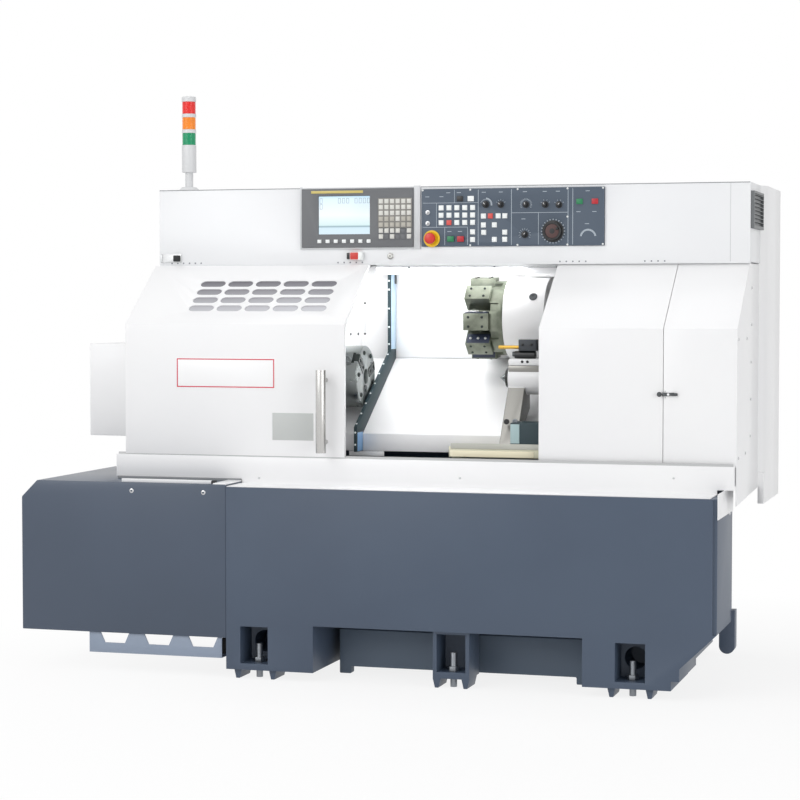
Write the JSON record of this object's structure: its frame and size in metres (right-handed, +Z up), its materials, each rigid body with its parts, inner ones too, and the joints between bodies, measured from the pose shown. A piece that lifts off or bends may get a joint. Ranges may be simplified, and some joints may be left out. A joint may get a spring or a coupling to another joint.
{
  "type": "turning lathe",
  "caption": "Slant-bed CNC turning lathe with sliding doors, three-jaw chuck, tool turret, tailstock, control console and signal tower.",
  "frame": {"origin": "middle of the outline on the floor, at floor level", "axes": "+X to the right along the spindle's axis, +Y into the machine from the operator's side, +Z up"},
  "size_m": [2.421, 1.105, 1.969],
  "materials": {
    "casting_paint": "satin blue-grey paint on cast iron",
    "box_paint": "satin blue-grey paint on sheet steel",
    "white_paint": "semi-gloss white paint on sheet steel",
    "console_paint": "semi-gloss pale grey paint",
    "panel_paint": "matt blue-grey printed panel",
    "motor_paint": "dark grey paint",
    "bare_steel": "ground steel",
    "hard_steel": "hardened and ground steel",
    "holder_steel": "blackened steel with a green tone",
    "stainless": "brushed stainless steel",
    "chromed": "bright",
    "dark_rubber": "dark teal rubber",
    "window": "grey sheet",
    "grey_plastic": "moulded grey",
    "dark_plastic": "moulded black",
    "pale_plastic": "moulded pale grey",
    "red_plastic": "moulded red",
    "amber_plastic": "moulded amber",
    "green_plastic": "moulded green"
  },
  "bodies": {
    "machine": {"base_casting": "casting_paint", "levelling_screws": "bare_steel", "left_base_box": "box_paint", "left_box_bracket": "casting_paint", "coolant_tank": "casting_paint", "apron": "white_paint", "headstock_cover": "white_paint", "end_cover": "white_paint", "console": "console_paint", "rear_cover": "white_paint", "rear_cabinet": "white_paint", "side_vent": "white_paint", "door_rails": "bare_steel", "door_stop": "bare_steel", "spindle_end_guard": "white_paint", "slant_bed": "casting_paint", "bed_ways": "bare_steel", "headstock_casting": "casting_paint", "inner_wall": "white_paint", "wiper_strip": "dark_rubber", "lower_way_cover": "white_paint", "chip_trough": "bare_steel", "tailstock_way": "bare_steel", "spindle_motor": "motor_paint", "drive_belt": "dark_rubber", "display_unit": "grey_plastic", "operator_panel": "panel_paint", "interlock_switch": "red_plastic", "tower_pole": "pale_plastic", "green_lens": "green_plastic", "amber_lens": "amber_plastic", "red_lens": "red_plastic"},
    "main_door_body": {"main_door": "white_paint", "door_window": "window", "door_handle": "stainless"},
    "service_door_body": {"service_door": "white_paint"},
    "latch_body": {"latch_lever": "stainless"},
    "spindle_body": {"spindle": "bare_steel", "chuck_body": "bare_steel"},
    "draw_tube_body": {"draw_tube": "bare_steel"},
    "jaw_1_body": {"chuck_jaw_1": "hard_steel"},
    "jaw_2_body": {"chuck_jaw_2": "hard_steel"},
    "jaw_3_body": {"chuck_jaw_3": "hard_steel"},
    "motor_pulley_body": {"motor_pulley": "bare_steel"},
    "carriage_body": {"saddle": "casting_paint", "sliding_way_cover": "white_paint"},
    "z_screw_body": {"z_screw": "bare_steel"},
    "cross_slide_body": {"cross_slide": "white_paint"},
    "turret_body": {"turret_disc": "hard_steel", "tool_holders": "holder_steel"},
    "tailstock": {"tailstock_body": "casting_paint"},
    "quill_body": {"quill": "bare_steel"},
    "centre_body": {"live_centre": "bare_steel"},
    "handwheel_body": {"handwheel": "dark_plastic"},
    "emergency_stop_body": {"emergency_stop": "red_plastic"},
    "feed_knob_body": {"feed_override_knob": "dark_plastic"},
    "mode_knob_body": {"mode_knob": "dark_plastic"},
    "cycle_start_body": {"cycle_start_button": "green_plastic"},
    "feed_hold_body": {"feed_hold_button": "red_plastic"},
    "key_body": {"key_switch": "chromed"}
  },
  "joints": [
    {"name": "main_door_slide", "type": "slide", "parent": "machine", "child": "main_door_body", "axis": [1, 0, 0], "range_m": [0, 0.655]},
    {"name": "service_door_slide", "type": "slide", "parent": "machine", "child": "service_door_body", "axis": [-1, 0, 0], "range_m": [0, 0.64]},
    {"name": "latch_swing", "type": "hinge", "parent": "machine", "child": "latch_body", "pos_m": [0.9715, -0.3885, 0.951], "axis": [0, 1, 0], "range_deg": [0, 90]},
    {"name": "spindle_turn", "type": "hinge", "parent": "machine", "child": "spindle_body", "pos_m": [-0.3705, -0.1525, 0.99], "axis": [1, 0, 0], "continuous": true},
    {"name": "draw_tube_pull", "type": "slide", "parent": "spindle_body", "child": "draw_tube_body", "axis": [-1, 0, 0], "range_m": [0, 0.016]},
    {"name": "jaw_1_slide", "type": "slide", "parent": "spindle_body", "child": "jaw_1_body", "axis": [0, 0.766, -0.6428], "range_m": [0, 0.004]},
    {"name": "jaw_2_slide", "type": "slide", "parent": "spindle_body", "child": "jaw_2_body", "axis": [0, 0.1736, 0.9848], "range_m": [0, 0.004]},
    {"name": "jaw_3_slide", "type": "slide", "parent": "spindle_body", "child": "jaw_3_body", "axis": [0, -0.9397, -0.342], "range_m": [0, 0.004]},
    {"name": "motor_pulley_turn", "type": "hinge", "parent": "machine", "child": "motor_pulley_body", "pos_m": [-0.5305, -0.2345, 0.737], "axis": [1, 0, 0], "continuous": true},
    {"name": "carriage_slide", "type": "slide", "parent": "machine", "child": "carriage_body", "axis": [1, 0, 0], "range_m": [-0.28, 0.1]},
    {"name": "z_screw_turn", "type": "hinge", "parent": "machine", "child": "z_screw_body", "pos_m": [0.2295, 0.23658, 1.13477], "axis": [1, 0, 0], "continuous": true},
    {"name": "cross_slide_travel", "type": "slide", "parent": "carriage_body", "child": "cross_slide_body", "axis": [0, -0.6428, -0.766], "range_m": [0, 0.06]},
    {"name": "turret_index", "type": "hinge", "parent": "cross_slide_body", "child": "turret_body", "pos_m": [0.3295, 0.01463, 1.18917], "axis": [1, 0, 0], "continuous": true},
    {"name": "tailstock_slide", "type": "slide", "parent": "machine", "child": "tailstock", "axis": [1, 0, 0], "range_m": [-0.15, 0.3]},
    {"name": "quill_slide", "type": "slide", "parent": "tailstock", "child": "quill_body", "axis": [-1, 0, 0], "range_m": [0, 0.08]},
    {"name": "live_centre_turn", "type": "hinge", "parent": "quill_body", "child": "centre_body", "pos_m": [0.3795, -0.1525, 0.99], "axis": [1, 0, 0], "continuous": true},
    {"name": "handwheel_turn", "type": "hinge", "parent": "machine", "child": "handwheel_body", "pos_m": [0.5365, -0.1225, 1.481], "axis": [0, 1, 0], "continuous": true},
    {"name": "emergency_stop_press", "type": "slide", "parent": "machine", "child": "emergency_stop_body", "axis": [0, 1, 0], "range_m": [0, 0.004], "stiffness_N_per_m": 600},
    {"name": "feed_knob_turn", "type": "hinge", "parent": "machine", "child": "feed_knob_body", "pos_m": [0.3045, -0.1225, 1.573], "axis": [0, 1, 0], "range_deg": [-135, 135]},
    {"name": "mode_knob_turn", "type": "hinge", "parent": "machine", "child": "mode_knob_body", "pos_m": [0.4395, -0.1225, 1.471], "axis": [0, 1, 0], "range_deg": [-90, 90]},
    {"name": "cycle_start_press", "type": "slide", "parent": "machine", "child": "cycle_start_body", "axis": [0, 1, 0], "range_m": [0, 0.002], "stiffness_N_per_m": 400},
    {"name": "feed_hold_press", "type": "slide", "parent": "machine", "child": "feed_hold_body", "axis": [0, 1, 0], "range_m": [0, 0.002], "stiffness_N_per_m": 400},
    {"name": "key_turn", "type": "hinge", "parent": "machine", "child": "key_body", "pos_m": [-0.0325, -0.1155, 1.401], "axis": [0, 1, 0], "range_deg": [0, 90]}
  ],
  "couplings": [
    {"joint": "motor_pulley_turn", "follows": "spindle_turn", "ratio": 1},
    {"joint": "jaw_1_slide", "follows": "draw_tube_pull", "ratio": 0.25},
    {"joint": "jaw_2_slide", "follows": "draw_tube_pull", "ratio": 0.25},
    {"joint": "jaw_3_slide", "follows": "draw_tube_pull", "ratio": 0.25},
    {"joint": "z_screw_turn", "follows": "carriage_slide", "rad_per_m": 628.32}
  ]
}
